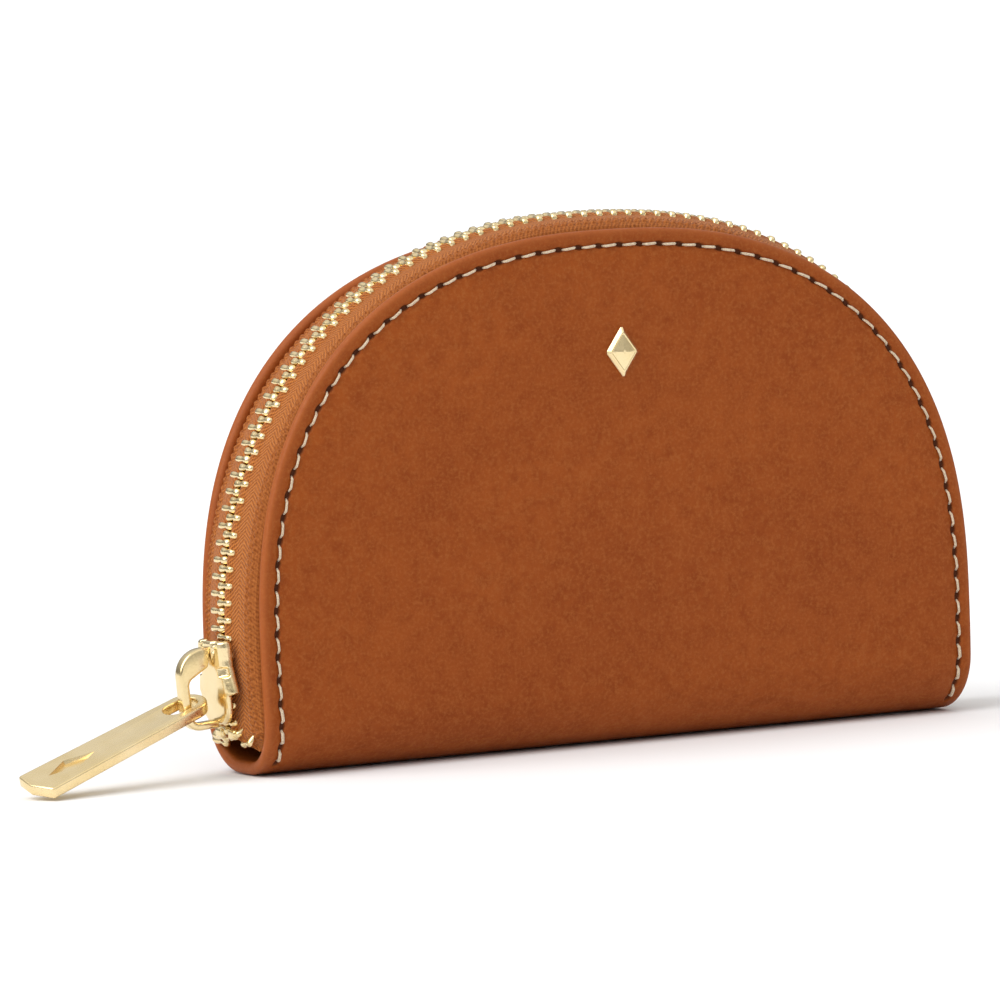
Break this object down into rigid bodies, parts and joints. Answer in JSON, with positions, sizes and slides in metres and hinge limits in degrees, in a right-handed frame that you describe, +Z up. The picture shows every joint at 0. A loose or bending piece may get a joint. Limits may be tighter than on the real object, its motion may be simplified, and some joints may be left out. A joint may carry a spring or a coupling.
{
  "type": "half-moon zip pouch",
  "caption": "Small half-moon leather pouch: folded strip with D-shaped panels, closed by a curved metal zip with slider and pull tab.",
  "frame": {"origin": "middle of the flat strip under the fold, on which the pouch stands", "axes": "+X along the fold, from the zip's open end to its closed end; -Y out of the front panel; +Z up"},
  "size_m": [0.1587, 0.0232, 0.0797],
  "materials": {
    "tan_leather": "smooth waxed vegetable-tanned leather, semi-matte, with burnished edges",
    "lining_cloth": "thin brown twill, matte",
    "zip_tape": "orange-tan herringbone zip tape, matte with a slight sheen",
    "pale_brass": "polished pale gold plating",
    "cream_thread": "waxed cream thread"
  },
  "bodies": {
    "back": {"back_panel": "tan_leather", "back_lining": "lining_cloth", "back_tape": "zip_tape", "back_teeth": "pale_brass", "back_seam_thread": "cream_thread", "top_stop_back": "pale_brass", "bottom_stop": "pale_brass", "base_fold": "tan_leather", "base_lining": "lining_cloth"},
    "front": {"front_panel": "tan_leather", "front_lining": "lining_cloth", "front_tape": "zip_tape", "front_teeth": "pale_brass", "front_seam_thread": "cream_thread", "top_stop_front": "pale_brass", "emblem_stud": "pale_brass", "emblem_washer": "pale_brass"},
    "slider": {"slider_body": "pale_brass", "slider_bridge": "pale_brass"},
    "pull": {"pull_tab": "pale_brass"}
  },
  "joints": [
    {"name": "mouth_open", "type": "hinge", "parent": "back", "child": "front", "pos_m": [0, 0, 0.007], "axis": [1, 0, 0], "range_deg": [0, 50], "deforming": ["base_fold", "base_lining", "front_tape", "back_tape", "front_teeth", "back_teeth"]},
    {"name": "zip_travel", "type": "hinge", "parent": "back", "child": "slider", "pos_m": [0, 0, 0.0185], "axis": [0, 1, 0], "range_deg": [0, 188.4], "deforming": ["front_tape", "back_tape", "front_teeth", "back_teeth"]},
    {"name": "pull_swing", "type": "hinge", "parent": "slider", "child": "pull", "pos_m": [-0.06804, 0, 0.01039], "axis": [0, 1, 0], "range_deg": [0, 32]}
  ],
  "couplings": [
    {"joint": "mouth_open", "follows": "zip_travel", "ratio": 0.265}
  ]
}
